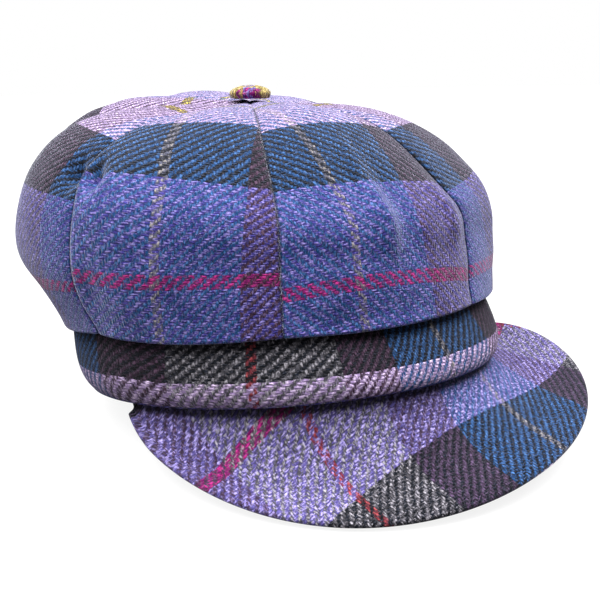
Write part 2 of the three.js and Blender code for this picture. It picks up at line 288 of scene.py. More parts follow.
def cloth_grid(points, cloth, closed=False, from_seam=None):
    """A flat grid laid onto points[row, column], with its place on the cloth as the UV map.

    A second map holds how far each point is from the nearest seam. A closed grid's first and
    last rows are sewn together, and so are its columns.
    """
    rows, columns = points.shape[:2]
    bm = bmesh.new()
    bmesh.ops.create_grid(bm, x_segments=columns - 1, y_segments=rows - 1, size=0.5)
    uv = bm.loops.layers.uv.new("cloth")
    seams = bm.loops.layers.uv.new("seams")
    places = {}
    for vertex in bm.verts:
        column = round((vertex.co.x + 0.5) * (columns - 1))
        row = round((vertex.co.y + 0.5) * (rows - 1))
        places[vertex] = (row, column)
        vertex.co = Vector(points[row, column]) * MM + ORIGIN
    for face in bm.faces:
        for loop in face.loops:
            loop[uv].uv = Vector(cloth[places[loop.vert]]) * MM
            gap = NO_SEAM if from_seam is None else from_seam[places[loop.vert]]
            loop[seams].uv = Vector((gap, 0)) * MM
    if closed:
        bmesh.ops.remove_doubles(bm, verts=bm.verts[:], dist=1e-6)
    return bm


def face_away_from(bm, centre):
    """Turns an open sheet's faces so that they look away from a point inside the cap."""
    bm.normal_update()
    outward = sum((face.calc_center_median() - centre).dot(face.normal) for face in bm.faces)
    if outward < 0:
        bmesh.ops.reverse_faces(bm, faces=bm.faces[:])


def thicken(piece, wall):
    """Gives a sheet its wall, inwards from the side that shows."""
    layer = piece.modifiers.new("wall", "SOLIDIFY")
    layer.thickness = wall * MM
    layer.offset = -1
    return piece


def seat(piece, node):
    """A piece rides on the cap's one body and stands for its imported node."""
    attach(piece, "root")
    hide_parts(node)
    return piece


def distance_along(points, axis):
    """Running length of the cloth along the rows or columns of a grid of points."""
    steps = np.linalg.norm(np.diff(points, axis=axis), axis=-1)
    start = np.zeros_like(np.take(steps, [0], axis=axis))
    return np.concatenate([start, np.cumsum(steps, axis=axis)], axis=axis)


# ---- node helpers ---------------------------------------------------------------------------


def linear(red, green, blue):
    """A yarn colour as the renderer needs it, from the values of a colour picker."""
    channels = [value / 255 for value in (red, green, blue)]
    return tuple(c / 12.92 if c <= 0.04045 else ((c + 0.055) / 1.055) ** 2.4 for c in channels)


def new_group(name, inputs, outputs):
    """An empty shader node group with named sockets; returns the tree and its two ends."""
    tree = bpy.data.node_groups.new(name, "ShaderNodeTree")
    for socket, kind, value in inputs:
        made = tree.interface.new_socket(socket, in_out="INPUT", socket_type="NodeSocket" + kind)
        if value is not None:
            made.default_value = value
    for socket, kind in outputs:
        tree.interface.new_socket(socket, in_out="OUTPUT", socket_type="NodeSocket" + kind)
    return tree, tree.nodes.new("NodeGroupInput").outputs, tree.nodes.new("NodeGroupOutput").inputs


def wire(tree, socket, value):
    """Sets a socket to a value, or links it to another node's output."""
    if isinstance(value, bpy.types.NodeSocket):
        tree.links.new(value, socket)
    else:
        socket.default_value = value


def maths(tree, operation, *values):
    node = tree.nodes.new("ShaderNodeMath")
    node.operation = operation
    for socket, value in zip(node.inputs, values):
        wire(tree, socket, value)
    return node.outputs[0]


def vector_maths(tree, operation, *values):
    node = tree.nodes.new("ShaderNodeVectorMath")
    node.operation = operation
    for socket, value in zip(node.inputs, values):
        wire(tree, socket, value)
    return node.outputs[0]


def mix_values(tree, share, first, second):
    node = tree.nodes.new("ShaderNodeMix")
    for socket, value in zip((node.inputs[0], node.inputs[2], node.inputs[3]), (share, first, second)):
        wire(tree, socket, value)
    return node.outputs[0]


def mix_colours(tree, share, first, second):
    node = tree.nodes.new("ShaderNodeMix")
    node.data_type = "RGBA"
    for socket, value in zip((node.inputs[0], node.inputs[6], node.inputs[7]), (share, first, second)):
        wire(tree, socket, value)
    return node.outputs[2]


def fibre_noise(tree, place, scale, detail, rough=0.5):
    node = tree.nodes.new("ShaderNodeTexNoise")
    wire(tree, node.inputs["Vector"], place)
    node.inputs["Scale"].default_value = scale
    node.inputs["Detail"].default_value = detail
    node.inputs["Roughness"].default_value = rough
    return node


def joined(tree, x, y, z):
    node = tree.nodes.new("ShaderNodeCombineXYZ")
    for socket, value in zip(node.inputs, (x, y, z)):
        wire(tree, socket, value)
    return node.outputs[0]


def split(tree, vector):
    node = tree.nodes.new("ShaderNodeSeparateXYZ")
    wire(tree, node.inputs[0], vector)
    return node.outputs[0], node.outputs[1]


# ---- the tweed ------------------------------------------------------------------------------

# Yarns, as spun: the ground shade of each, and the paler wool carded into it.
YARNS = {
    "blue": ((14, 54, 98), (58, 96, 148)),
    "tan": ((72, 74, 92), (142, 136, 132)),
    "mauve": ((44, 26, 44), (80, 58, 78)),
    "grey": ((64, 62, 68), (144, 140, 148)),
    "rust": ((96, 30, 40), (150, 66, 70)),
    "lilac": ((52, 46, 118), (126, 115, 178)),
    "lavender": ((74, 66, 124), (156, 144, 202)),
    "plum": ((48, 34, 54), (80, 62, 90)),
    "straw": ((124, 106, 46), (206, 186, 112)),
    "magenta": ((104, 14, 84), (168, 38, 116)),
    "black": ((3, 6, 12), (12, 18, 30)),
    "pink": ((142, 120, 162), (212, 190, 224)),
    "olive": ((112, 98, 40), (196, 176, 70)),
}
LINING_COLOURS = (16, 22, 48), (34, 44, 82)  # between the threads, and on their tops

# Half of each repeat, from the line in its middle out to the line in the next middle:
# the yarn, and how far from the line it runs, in millimetres.
WARP_CHART = [("tan", 1.7), ("blue", 30.5), ("mauve", 55.5), ("grey", 80.6), ("rust", 82.5)]
WEFT_CHART = [("magenta", 2.7), ("lilac", 39.5), ("black", 73.5), ("pink", 111.0), ("olive", 113.5)]

# The peak's cloth takes paler yarns: painted light, for the brighter light that falls on the peak. The
# button's small piece is cut where other yarns meet.
PEAK_WARP_CHART = [("plum" if yarn == "mauve" else yarn, end) for yarn, end in WARP_CHART]
PEAK_WEFT_CHART = [("lavender" if yarn == "lilac" else yarn, end) for yarn, end in WEFT_CHART]
BUTTON_WARP_CHART = [("lavender", 2.4), ("straw", 30.0)]
BUTTON_WEFT_CHART = [("magenta", 1.6), ("straw", 30.0)]

TWILL_REPEAT = 4  # threads: over two, under two, one step along on each row
TWEED_WEAVE = {"thread": 1.08, "wander": 0.5}  # spacing of the threads, and how far they stray
LINING_WEAVE = {"thread": 0.6, "wander": 0.1}

# How the threads stray: how fine each unevenness is, and its share of the whole.
STRAYING = [(130.0, 1.6), (620.0, 1.6), (2400.0, 0.9)]

# Unevenness drawn out along the threads, longer where the stretch is smaller: how fine it is,
# how detailed, and which layer of the noise it is cut from.
YARN_NOISE = {
    "tone": {"stretch": 0.5, "scale": 1500.0, "detail": 1.0, "layer": 0.01},
    "strand": {"stretch": 0.35, "scale": 1700.0, "detail": 3.0, "layer": 0.02},
    "lump": {"stretch": 0.6, "scale": 900.0, "detail": 1.0, "layer": 0.03},
    "stray": {"stretch": 0.5, "scale": 1300.0, "detail": 3.0, "layer": 0.09},
}
WEFT_LAYER_STEP = 0.05  # the weft's noise is cut this far from the warp's

WOOL = {
    "thread_tone": 0.8,  # how much whole threads differ in tone
    "carding": (0.44, 0.68),  # where the noise turns ground shade into paler wool
    "crisp": 0.5,  # how clearly single threads part,
    "slant": 0.25,  # and how clearly the twill's slant shows between them
    "felted_edge": (-0.3, 0.4),  # how softly one yarn's colour gives way to the other's
    "lumps": 3.6,  # light and dark where the yarn is thick and thin
    "darkest": 0.3,
    "crevice": 0.72,  # painted shade between the threads,
    "crest": 0.5,  # and how much lighter their tops are painted, a painted highlight
    "hairs": 520.0,  # how fine the pattern of loose hairs is
    "hair_width": 0.02,
    "hair_colour": (0.22, 0.22, 0.3, 1),
    "strand_relief": 2.5,
    "mottle": 0.45,
    "fuzz": 0.35,
    "seam_width": 1.2,  # millimetres from a seam where the cloth is painted darker, a painted shade,
    "painted_seam_shade": 0.35,  # and how dark that painted shade gets
}


def stripe_colour(tree, place, chart, fleck):
    """The yarn at a place across the cloth, from a mirrored repeat of stripes."""
    ground_shade = stripe_ramp(tree, place, chart, 0)
    carded_shade = stripe_ramp(tree, place, chart, 1)
    return mix_colours(tree, fleck, ground_shade, carded_shade)


def stripe_ramp(tree, place, chart, shade):
    """One shade of the yarns, laid out as stripes."""
    half = chart[-1][1] * MM
    turns = maths(tree, "DIVIDE", place, 2 * half)
    folded = maths(tree, "PINGPONG", turns, 0.5)
    share = maths(tree, "MULTIPLY", folded, 2.0)
    ramp = tree.nodes.new("ShaderNodeValToRGB")
    ramp.color_ramp.interpolation = "CONSTANT"
    stops = ramp.color_ramp.elements
    start = 0.0
    for index, (yarn, end) in enumerate(chart):
        stop = stops[index] if index < 2 else stops.new(start)
        stop.position = start
        stop.color = (*linear(*YARNS[yarn][shade]), 1)
        start = end / chart[-1][1]
    wire(tree, ramp.inputs[0], share)
    return ramp.outputs[0]


def scaled(tree, vector, amount):
    node = tree.nodes.new("ShaderNodeVectorMath")
    node.operation = "SCALE"
    wire(tree, node.inputs[0], vector)
    wire(tree, node.inputs["Scale"], amount)
    return node.outputs[0]


def eased(tree, value, low, high):
    """0 below the low value, 1 above the high one, and smooth between them."""
    node = tree.nodes.new("ShaderNodeMapRange")
    node.interpolation_type = "SMOOTHSTEP"
    wire(tree, node.inputs[0], value)
    node.inputs[1].default_value, node.inputs[2].default_value = low, high
    return node.outputs[0]


def twill_group():
    """Which thread shows at a place on the cloth, and how high it stands."""
    pitch, wander = (TWEED_WEAVE[key] * MM for key in ("thread", "wander"))
    inputs = [("Cloth", "Vector", None), ("Thread Pitch", "Float", pitch), ("Wander", "Float", wander)]
    names = ("Warp Up", "Slant", "Height", "Warp Place", "Weft Place")
    outputs = [(name, "Float") for name in names]
    tree, given, result = new_group("twill_weave", inputs, outputs)
    moved = given["Cloth"]
    for scale, share in STRAYING:
        drift = fibre_noise(tree, given["Cloth"], scale, 1.0).outputs["Color"]
        centred = vector_maths(tree, "SUBTRACT", drift, (0.5, 0.5, 0.5))
        amount = maths(tree, "MULTIPLY", given["Wander"], share)
        moved = vector_maths(tree, "ADD", moved, scaled(tree, centred, amount))
    x, y = split(tree, moved)
    u = maths(tree, "ADD", maths(tree, "DIVIDE", x, given["Thread Pitch"]), 0.5)
    v = maths(tree, "ADD", maths(tree, "DIVIDE", y, given["Thread Pitch"]), 0.5)
    end, pick = maths(tree, "FLOOR", u), maths(tree, "FLOOR", v)
    step = maths(tree, "SUBTRACT", end, pick)
    turn = maths(tree, "FRACT", maths(tree, "DIVIDE", maths(tree, "ADD", step, 0.5), TWILL_REPEAT))
    warp_up = maths(tree, "LESS_THAN", turn, 0.5)

    def float_height(across, along):
        """Roundness across a thread, and the bow along its float."""
        side = maths(tree, "SUBTRACT", maths(tree, "MULTIPLY", across, 2.0), 1.0)
        round_part = maths(tree, "SUBTRACT", 1.0, maths(tree, "MULTIPLY", side, side))
        phase = maths(tree, "FRACT", maths(tree, "DIVIDE", along, TWILL_REPEAT))
        bow = maths(tree, "SINE", maths(tree, "MULTIPLY", phase, 2 * math.pi))
        lifted = maths(tree, "MULTIPLY_ADD", maths(tree, "MAXIMUM", bow, 0.0), 0.7, 0.3)
        return maths(tree, "MULTIPLY", round_part, lifted)

    warp_along = maths(tree, "ADD", maths(tree, "SUBTRACT", end, v), 1.0)
    warp_height = float_height(maths(tree, "FRACT", u), warp_along)
    weft_along = maths(tree, "SUBTRACT", maths(tree, "SUBTRACT", u, pick), 2.0)
    weft_height = float_height(maths(tree, "FRACT", v), weft_along)
    wire(tree, result["Warp Up"], warp_up)
    rise = maths(tree, "DIVIDE", maths(tree, "ADD", maths(tree, "SUBTRACT", u, v), 0.5), TWILL_REPEAT)
    wire(tree, result["Slant"], maths(tree, "SINE", maths(tree, "MULTIPLY", rise, 2 * math.pi)))
    wire(tree, result["Height"], mix_values(tree, warp_up, weft_height, warp_height))
    for name, thread in (("Warp Place", end), ("Weft Place", pick)):
        wire(tree, result[name], maths(tree, "MULTIPLY", thread, given["Thread Pitch"]))
    return tree


def check_group(name, warp_chart, weft_chart):
    """The colour of the checked tweed: its stripes, heathered yarn and loose fibres, with painted shade
    between the threads and painted highlights on their tops.
    """
    inputs = [
        ("Cloth", "Vector", None),
        ("Warp Up", "Float", 0.0),
        ("Slant", "Float", 0.0),
        ("Height", "Float", 0.5),
        ("Warp Place", "Float", 0.0),
        ("Weft Place", "Float", 0.0),
        ("Mottle", "Float", 0.5),
        ("Felting", "Float", 4.0),
        ("Fuzz", "Float", 0.3),
        ("Contrast", "Float", 1.0),
    ]
    tree, given, result = new_group(name, inputs, [("Color", "Color"), ("Height", "Float")])
    x, y = split(tree, given["Cloth"])

    def along_threads(kind, warp_across, weft_across):
        """Unevenness drawn out along whichever thread shows."""
        noise = YARN_NOISE[kind]
        stretch, layer = noise["stretch"], noise["layer"]
        along_warp = joined(tree, warp_across, maths(tree, "MULTIPLY", y, stretch), layer)
        weft_layer = layer + WEFT_LAYER_STEP
        along_weft = joined(tree, maths(tree, "MULTIPLY", x, stretch), weft_across, weft_layer)
        place = tree.nodes.new("ShaderNodeMix")
        place.data_type = "VECTOR"
        wire(tree, place.inputs[0], given["Warp Up"])
        wire(tree, place.inputs[4], along_weft)
        wire(tree, place.inputs[5], along_warp)
        return fibre_noise(tree, place.outputs[1], noise["scale"], noise["detail"]).outputs[0]

    def centred(noise):
        return maths(tree, "SUBTRACT", noise, 0.5)

    tone = along_threads("tone", given["Warp Place"], given["Weft Place"])
    strand = along_threads("strand", x, y)
    lump = along_threads("lump", x, y)
    stray = along_threads("stray", x, y)
    mixed = maths(tree, "ADD", strand, maths(tree, "MULTIPLY", centred(tone), WOOL["thread_tone"]))
    fleck = eased(tree, mixed, *WOOL["carding"])
    warp = stripe_colour(tree, given["Warp Place"], warp_chart, fleck)
    weft = stripe_colour(tree, given["Weft Place"], weft_chart, fleck)
    side = maths(tree, "MULTIPLY_ADD", given["Warp Up"], 2.0, -1.0)
    crisp = maths(tree, "MULTIPLY", maths(tree, "MULTIPLY", side, given["Height"]), WOOL["crisp"])
    soft = maths(tree, "MULTIPLY_ADD", given["Slant"], WOOL["slant"], crisp)
    loose = maths(tree, "MULTIPLY", centred(stray), given["Felting"])
    shown = maths(tree, "MULTIPLY", maths(tree, "ADD", soft, loose), given["Contrast"])
    yarn = mix_colours(tree, eased(tree, shown, *WOOL["felted_edge"]), weft, warp)
    spread = maths(tree, "MULTIPLY", centred(lump), given["Mottle"])
    thickness = maths(tree, "MULTIPLY_ADD", spread, WOOL["lumps"], 1.0)
    lit = maths(tree, "MAXIMUM", thickness, WOOL["darkest"])
    painted_thread_shade = maths(tree, "MULTIPLY_ADD", given["Height"], WOOL["crest"], WOOL["crevice"])
    yarn = scaled(tree, yarn, maths(tree, "MULTIPLY", lit, painted_thread_shade))
    hair = fibre_noise(tree, given["Cloth"], WOOL["hairs"], 2.0, 0.6).outputs[0]
    off_hair = maths(tree, "ABSOLUTE", centred(hair))
    thin = maths(tree, "SUBTRACT", 1.0, eased(tree, off_hair, 0.0, WOOL["hair_width"]))
    share = maths(tree, "MULTIPLY", thin, given["Fuzz"])
    pale = mix_colours(tree, 0.5, yarn, WOOL["hair_colour"])
    wire(tree, result["Color"], mix_colours(tree, share, yarn, pale))
    relief = maths(tree, "MULTIPLY_ADD", centred(strand), WOOL["strand_relief"], given["Height"])
    wire(tree, result["Height"], relief)
    return tree


TWILL = twill_group()
CHECK = check_group("check_yarns", WARP_CHART, WEFT_CHART)
PEAK_CHECK = check_group("peak_check_yarns", PEAK_WARP_CHART, PEAK_WEFT_CHART)
BUTTON_CHECK = check_group("button_check_yarns", BUTTON_WARP_CHART, BUTTON_WEFT_CHART)


def group_node(tree, group, **values):
    """A shared effect placed in a material with its own values; returns its outputs."""
    node = tree.nodes.new("ShaderNodeGroup")
    node.node_tree = group
    for name, value in values.items():
        wire(tree, node.inputs[name.replace("_", " ")], value)
    return node.outputs


def cloth_base(name, rough, sheen, bump_depth):
    """A cloth material with its bump node; returns it, its tree and the two open sockets."""
    material = bpy.data.materials.new(name)
    material.use_nodes = True
    tree = material.node_tree
    shader = tree.nodes["Principled BSDF"]
    shader.inputs["Roughness"].default_value = rough
    shader.inputs["Specular IOR Level"].default_value = 0.2
    shader.inputs["Sheen Weight"].default_value = sheen
    shader.inputs["Sheen Roughness"].default_value = 0.3
    shader.inputs["Sheen Tint"].default_value = (0.78, 0.8, 1.0, 1)
    bump = tree.nodes.new("ShaderNodeBump")
    bump.inputs["Strength"].default_value = 0.55
    bump.inputs["Distance"].default_value = bump_depth * MM
    wire(tree, shader.inputs["Normal"], bump.outputs[0])
    return material, tree, shader.inputs["Base Color"], bump.inputs["Height"]


def woven(tree, weave):
    """The place on the cloth, and the twill's outputs there."""
    place = tree.nodes.new("ShaderNodeUVMap")
    place.uv_map = "cloth"
    pitch, wander = weave["thread"] * MM, weave["wander"] * MM
    twill = group_node(tree, TWILL, Cloth=place.outputs[0], Thread_Pitch=pitch, Wander=wander)
    return place.outputs[0], twill


def tweed(name, yarns=CHECK, felting=4.0, contrast=0.62, sheen=0.55, shade=1.0):
    """Checked twill tweed, read from the piece's own place on the cloth, with painted shade beside the
    seams and over the whole piece by its shade value.
    """
    material, tree, colour, height = cloth_base(name, rough=0.95, sheen=sheen, bump_depth=0.5)
    place, weave = woven(tree, TWEED_WEAVE)
    check = group_node(
        tree,
        yarns,
        Cloth=place,
        Warp_Up=weave["Warp Up"],
        Slant=weave["Slant"],
        Height=weave["Height"],
        Warp_Place=weave["Warp Place"],
        Weft_Place=weave["Weft Place"],
        Mottle=WOOL["mottle"],
        Felting=felting,
        Fuzz=WOOL["fuzz"],
        Contrast=contrast,
    )
    # Painted shade: the cloth is painted darker beside each seam, and the whole piece by its shade value.
    seam = tree.nodes.new("ShaderNodeUVMap")
    seam.uv_map = "seams"
    clear = eased(tree, split(tree, seam.outputs[0])[0], 0.0, WOOL["seam_width"] * MM)
    painted_shade = mix_values(tree, clear, WOOL["painted_seam_shade"] * shade, shade)
    wire(tree, colour, scaled(tree, check["Color"], painted_shade))
    wire(tree, height, check["Height"])
    return material


def plain_lining(name):
    """Navy cotton twill, fine and even."""
    material, tree, colour, height = cloth_base(name, rough=0.8, sheen=0.15, bump_depth=0.2)
    _, weave = woven(tree, LINING_WEAVE)
    dark, light = ((*linear(*shade), 1) for shade in LINING_COLOURS)
    wire(tree, colour, mix_colours(tree, weave["Height"], dark, light))
    wire(tree, height, weave["Height"])
    return material


CROWN_TWEED = tweed("crown_tweed")
# The band's shade of 0.8 is painted shade, for the shadow under the crown's overhang.
BAND_TWEED = tweed("band_tweed", sheen=0.1, shade=0.8)
PEAK_TWEED = tweed("peak_tweed", PEAK_CHECK, felting=5.5, contrast=0.55, sheen=0.28)
BUTTON_TWEED = tweed("button_tweed", BUTTON_CHECK)
PEAK_LINING = plain_lining("peak_lining")


# ---- crown ----------------------------------------------------------------------------------


def crown_form(angle, rise):
    """The smooth form of the crown, before seams and folds."""
    radius = np.array([around(row["radius"], angle) for row in CROWN_ROWS])
    back = np.array([row["back"] for row in CROWN_ROWS])[:, None]
    height = np.array([around(row["height"], angle) for row in CROWN_ROWS])
    return stack(
        through_stations(RISES, radius * np.sin(angle), rise),
        through_stations(RISES, back - radius * np.cos(angle), rise),
        through_stations(RISES, height, rise),
    )


def crown_outward(angle, rise):
    """The direction straight out of the crown's cloth."""
    step = 0.001
    up_to = np.minimum(rise + step, 1)
    sideways = crown_form(angle + step, rise) - crown_form(angle - step, rise)
    upwards = crown_form(angle, up_to) - crown_form(angle, up_to - 2 * step)
    return unit(np.cross(sideways, upwards))


def crown_relief(index, across, rise):
    """How far the cloth stands out from the smooth form: swollen between seams, with folds."""
    puffs = np.tile([[row["puff"]] for row in CROWN_ROWS], (1, len(rise)))
    puff = through_stations(RISES, puffs, rise)
    swell = 1 - (2 * across - 1) ** 2
    folds = 0 * across
    for fold in CROWN_FOLDS:
        if fold["panel"] == index:
            sideways = ((across - fold["across"]) / fold["width"]) ** 2
            upwards = ((rise - fold["rise"]) / fold["length"]) ** 2
            folds = folds + fold["height"] * np.exp(-sideways - upwards)
    folds = folds * np.minimum(1, 3 * swell)  # they die out at the seams
    return PANELS[index]["puff"] * puff * (swell - 0.5) + folds


def seam_drift(index, rise):
    """How far the seam after a panel wanders from its straight run, in degrees."""
    if index not in SEAM_DRIFT:
        return 0 * rise
    turns = np.repeat([[turn] for turn in SEAM_DRIFT[index]["turns"]], len(rise), axis=1)
    return through_stations(SEAM_DRIFT[index]["rises"], turns, rise)


def panel_angle(index, across, rise):
    """How far round the cap a place on a panel lies, in radians from the front."""
    before = seam_drift((index - 1) % len(PANELS), rise)
    drift = before * (1 - across) + seam_drift(index, rise) * across
    return np.radians(SEAM_TURN + 360 / len(PANELS) * (index + across - 0.5) + drift)


def panel_points(index, across, rise):
    """Points on the outside of a crown panel."""
    angle = panel_angle(index, across, rise)
    relief = crown_relief(index, across, rise)
    ends = [crown_form(panel_angle(index, end + 0 * across, rise), rise) for end in (0, 1)]
    width = np.linalg.norm(ends[1] - ends[0], axis=-1)
    from_seam = np.minimum(across, 1 - across) * width
    dip = SEAM["dip"] * np.minimum(1, width / SEAM["full_width"]) ** 2
    relief = relief - dip * np.exp(-((from_seam / SEAM["reach"]) ** 2))
    seed, climb = PRESSING["seed"] + index, rise * PRESSING["climb"]
    relief = relief + ripple(across * width, climb, seed, PRESSING["size"], PRESSING["wavelength"])
    points = crown_form(angle, rise) + crown_outward(angle, rise) * relief[..., None]
    sag = PANELS[index]["sag"] * np.sin(np.pi * across) * np.maximum(0, 1 - rise / SAG_REACH)
    points[..., 2] -= sag
    return points


def hem_points(foot, angle, part):
    """The folded edge, from where it meets the band (part 0) out to the foot of the wall (1)."""
    path = [[inward, up] for inward, up in HEM_FOLD]
    stations = np.linspace(1, 0, len(path))[::-1]
    columns = np.array(path[::-1])[:, :, None]
    inward = through_stations(stations, np.repeat(columns[:, 0], len(part), axis=1), part)
    up = through_stations(stations, np.repeat(columns[:, 1], len(part), axis=1), part)
    points = foot - radial(angle) * inward[..., None]
    points[..., 2] += up
    return points


def panel_cloth(index, points, rises, foot_row):
    """Where the check lies at each point of a panel, and how wide each row of the panel is."""
    middle = points.shape[1] // 2
    sideways = distance_along(points, 1)
    widths = sideways[:, [-1]]
    before, after = seam_drift((index - 1) % len(PANELS), rises), seam_drift(index, rises)
    wandered = (before + after) / 2 / (360 / len(PANELS) + after - before)
    sideways = sideways - sideways[:, [middle]] + widths * wandered[:, None]
    upwards = distance_along(points, 0)[:, [middle]]
    upwards = upwards - upwards[foot_row]
    panel = {**SEWN_CLOTH, **PANELS[index], **EASED_CLOTH.get(index, {})}
    x = sideways - panel["line"] + panel["lean"] * upwards
    x = np.where(x < 0, x * panel["draw"], x)
    y = upwards - panel["stripe"] + panel["bow"] * sideways**2
    tilt = math.radians(panel["tilt"])
    across_cloth = x * math.cos(tilt) + y * math.sin(tilt)
    up_cloth = y * math.cos(tilt) - x * math.sin(tilt)
    if panel["turned"]:
        across_cloth = -across_cloth
    return np.stack([across_cloth, up_cloth], axis=-1), widths


def crown_panel(index):
    """One gore of the crown, folded under at its lower edge."""
    columns, hem_rows, wall_rows = 61, 12, 130
    even = np.linspace(0, 1, columns)
    spread = 0.75 * even + 0.25 * (0.5 - 0.5 * np.cos(np.pi * even))  # closer near the seams
    wall_rises = np.linspace(0, PANEL_TOP, wall_rows)
    across, rise = np.meshgrid(spread, wall_rises)
    wall = panel_points(index, across.ravel(), rise.ravel()).reshape(wall_rows, columns, 3)
    foot = np.tile(wall[0], (hem_rows, 1))
    foot_across, part = np.meshgrid(spread, np.linspace(0, 1, hem_rows, endpoint=False))
    foot_angle = panel_angle(index, foot_across.ravel(), 0 * part.ravel())
    hem = hem_points(foot, foot_angle, part.ravel()).reshape(hem_rows, columns, 3)
    points = np.concatenate([hem, wall])
    rises = np.concatenate([np.zeros(hem_rows), wall_rises])
    cloth, widths = panel_cloth(index, points, rises, foot_row=hem_rows)
    # The painted seam shade fades out under the button.
    faded = SEAM["fading"] * np.maximum(0, rises - SEAM["fades_from"])
    from_seam = np.minimum(spread, 1 - spread) * widths + faded[:, None]
    bm = cloth_grid(points, cloth, from_seam=from_seam)
    face_away_from(bm, ORIGIN + Vector((0, 0, INSIDE_CROWN)) * MM)
    piece = thicken(finished(f"crown_gore_{index + 1}", bm, CROWN_TWEED), CLOTH)
    return seat(piece, f"crown_panel_{index + 1}")


# ---- band -----------------------------------------------------------------------------------


def ring_length(angle):
    """The head ring's reach from its centre, to the front or to the back."""
    return np.where(np.cos(angle) > 0, HEAD_RING["front_length"], HEAD_RING["back_length"])


def ring_outward(angle):
    """The outward direction of the head ring, level."""
    x = np.sin(angle) / HEAD_RING["half_width"]
    y = -np.cos(angle) / ring_length(angle)
    return unit(stack(x, y, 0 * angle))


def ring_point(angle):
    """A point on the head ring, pressed flat where it would go below the floor."""
    narrowing = 1 - HEAD_RING["back_narrowing"] * (1 - np.cos(angle)) / 2
    return stack(
        HEAD_RING["half_width"] * np.sin(angle) * narrowing,
        HEAD_RING["centre_y"] - ring_length(angle) * np.cos(angle),
        np.maximum(around(HEAD_RING["height"], angle), FLOOR),
    )


def crown_foot(angle):
    """The foot of the crown's wall, seams and folds included."""
    turn = np.degrees(angle) - SEAM_TURN + 180 / len(PANELS)
    place = np.mod(turn, 360) / (360 / len(PANELS))
    index = np.floor(place).astype(int) % len(PANELS)
    across = place - np.floor(place)
    relief = np.zeros_like(angle)
    sag = np.zeros_like(angle)
    for panel in range(len(PANELS)):
        here = index == panel
        relief[here] = crown_relief(panel, across[here], 0 * across[here])
        sag[here] = PANELS[panel]["sag"] * np.sin(np.pi * across[here])
    foot = crown_form(angle, 0 * angle) + crown_outward(angle, 0 * angle) * relief[..., None]
    foot[..., 2] -= sag
    return foot


def band_points(angle, part, depth):
    """Points on the band's wall: part runs from its lower edge to the knee under the crown."""
    outward = ring_outward(angle)
    bottom = ring_point(angle)
    knee = crown_foot(angle) - radial(angle) * BAND["tuck"]
    knee[..., 2] -= BAND["knee_drop"]
    belly = BAND["belly"] * np.sin(np.pi * np.clip(part, 0, 1) ** BAND["belly_low"])
    return bottom + (knee - bottom) * part[..., None] + outward * (belly - depth)[..., None]


def band_chart(run):
    """Where the check lies along the band: the cloth is eased as it goes round."""
    stations = [station for station, _ in BAND_CHART]
    places = np.array([[place] for _, place in BAND_CHART])
    flat = run.ravel()
    return through_stations(stations, np.repeat(places, len(flat), axis=1), flat).reshape(run.shape)


def band():
    """The band: a closed section carried right round, rolled under at its lower edge."""
    columns = 361
    angles = np.linspace(-np.pi, np.pi, columns)
    face_parts = np.linspace(BAND["foot_part"], 1, 44)
    back_parts = np.linspace(1, BAND["foot_part"], 14)
    level = 0 * angles
    rows = [band_points(angles, part + level, level) for part in face_parts]
    knee, inner_knee = rows[-1], band_points(angles, 1 + level, BAND["wall"] + level)
    rest_of_wall = np.array([0, 0, BAND["overlap"]]) - radial(angles) * BAND["top_lean"]
    rows += [knee + rest_of_wall * share for share in (0.35, 0.7, 1.0)]
    rows += [inner_knee + rest_of_wall * share for share in (1.0, 0.6, 0.2)]
    rows += [band_points(angles, part + level, BAND["wall"] + level) for part in back_parts]
    start, end = rows[0], rows[-1]
    bottom = (start + end) / 2
    bottom[..., 2] = ring_point(angles)[..., 2]
    for turn in np.linspace(0, np.pi, 8)[1:]:
        across = (start - end) / 2 * -np.cos(turn)
        down = (bottom[..., 2] - (start + end)[..., 2] / 2) * np.sin(turn)
        ring = (start + end) / 2 + across
        ring[..., 2] += down
        rows.append(ring)
    points = np.array(rows)
    edge = ring_point(angles)
    tangent = unit(np.gradient(edge, axis=0))
    run = distance_along(edge[None], 1)[0]
    run = run - run[columns // 2]
    around_cloth = run + np.sum((points - edge) * tangent, axis=-1)
    up_cloth = distance_along(points, 0)[:, [columns // 2]]
    black_edge = dict(WEFT_CHART)["black"]
    up_cloth = up_cloth - BAND["strip"] - black_edge + 0 * around_cloth
    cloth = np.stack([band_chart(around_cloth), up_cloth], axis=-1)
    bm = cloth_grid(points, cloth, closed=True)
    bmesh.ops.recalc_face_normals(bm, faces=bm.faces[:])
    piece = finished("band_cloth", bm, BAND_TWEED)
    return seat(piece, "band")


# ---- peak -----------------------------------------------------------------------------------


def peak_surface(angle, part):
    """The upper surface of the peak, and the same place on its cloth laid flat."""
    squared = angle * angle
    ratio = np.abs(angle) / math.radians(PEAK["half_span"])
    full = (PEAK["reach"][0] + PEAK["reach"][1] * squared) * (1 + PEAK["skew"] * np.sin(angle))
    reach = full * np.sqrt(np.maximum(1 - ratio ** PEAK["reach_power"], 0))
    front, turning, droop = PEAK["slope"]
    slope = np.radians(front + turning * angle + droop * squared - PEAK["flattening"] * (part - 0.5))
    outward = ring_outward(angle)
    heading = unit(outward + np.array([*PEAK["sweep"], 0]))
    start = ring_point(angle) - outward * PEAK["inset"]
    surface = start + heading * (part * reach * np.cos(slope))[..., None]
    surface[..., 2] -= PEAK["drop"] + part * reach * np.sin(slope)
    flat = start[..., :2] + heading[..., :2] * (part * reach)[..., None]
    return surface, flat


